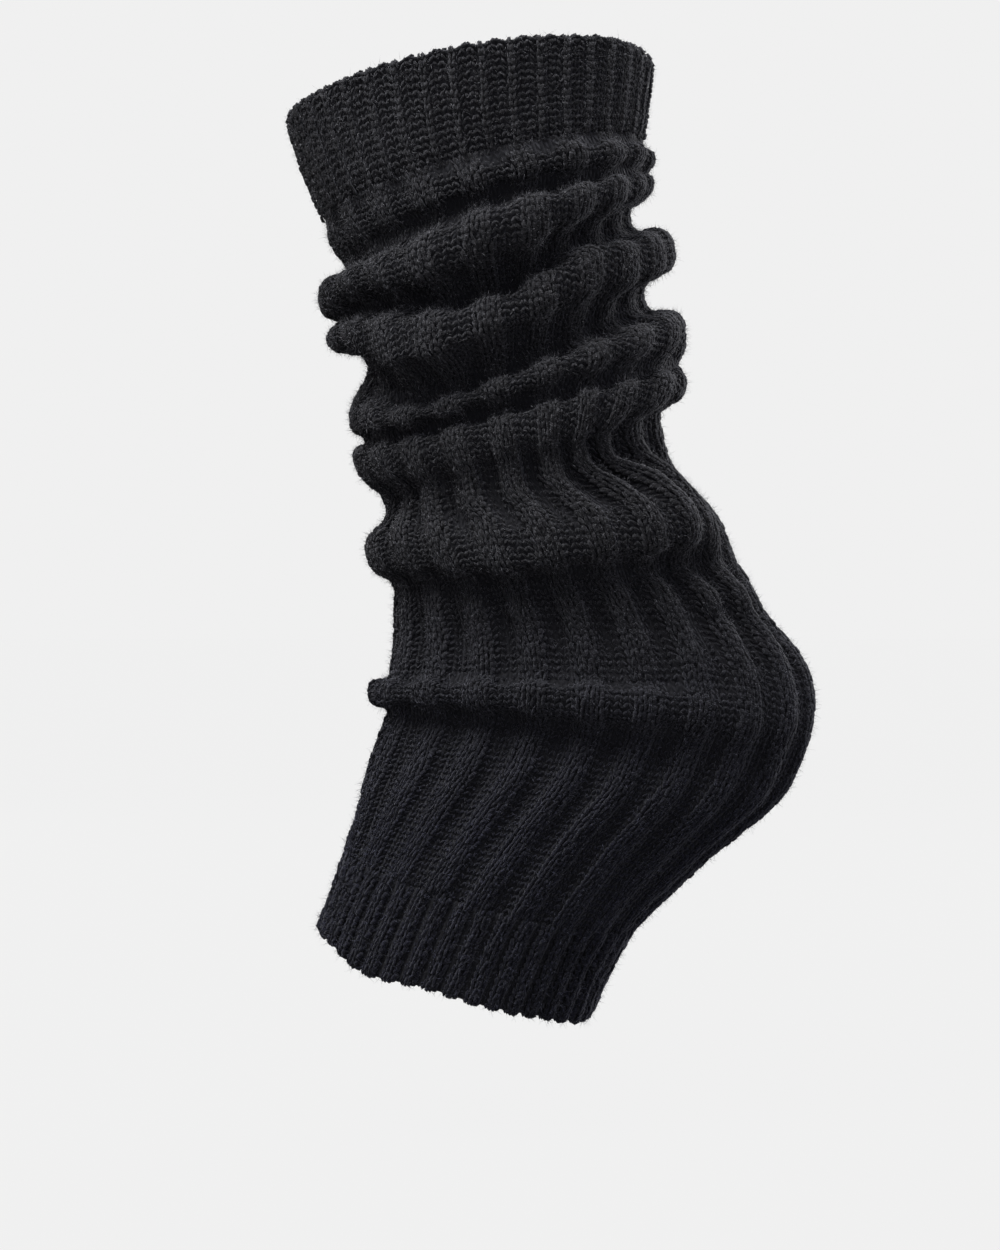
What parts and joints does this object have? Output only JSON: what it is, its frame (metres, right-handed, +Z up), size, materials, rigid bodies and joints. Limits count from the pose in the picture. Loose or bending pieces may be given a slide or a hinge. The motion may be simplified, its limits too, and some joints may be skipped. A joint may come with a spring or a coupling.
{
  "type": "leg warmer",
  "caption": "Slouched leg warmer in chunky rib knit, worn over calf, heel and instep, with fine-ribbed cuffs and open, hollow ends.",
  "frame": {"origin": "middle of the calf cuff, on the leg's axis, where the leg holds the garment up", "axes": "+Z up, towards the knee; +X towards the back of the leg (calf and heel), -X its front (shin and instep); -Y the near side in the picture"},
  "size_m": [0.1579, 0.1159, 0.2879],
  "materials": {
    "rib_knit": "matt black chunky knit with a light fuzz"
  },
  "bodies": {
    "root": {"calf_cuff": "rib_knit", "body": "rib_knit", "foot_cuff": "rib_knit"}
  },
  "joints": []
}
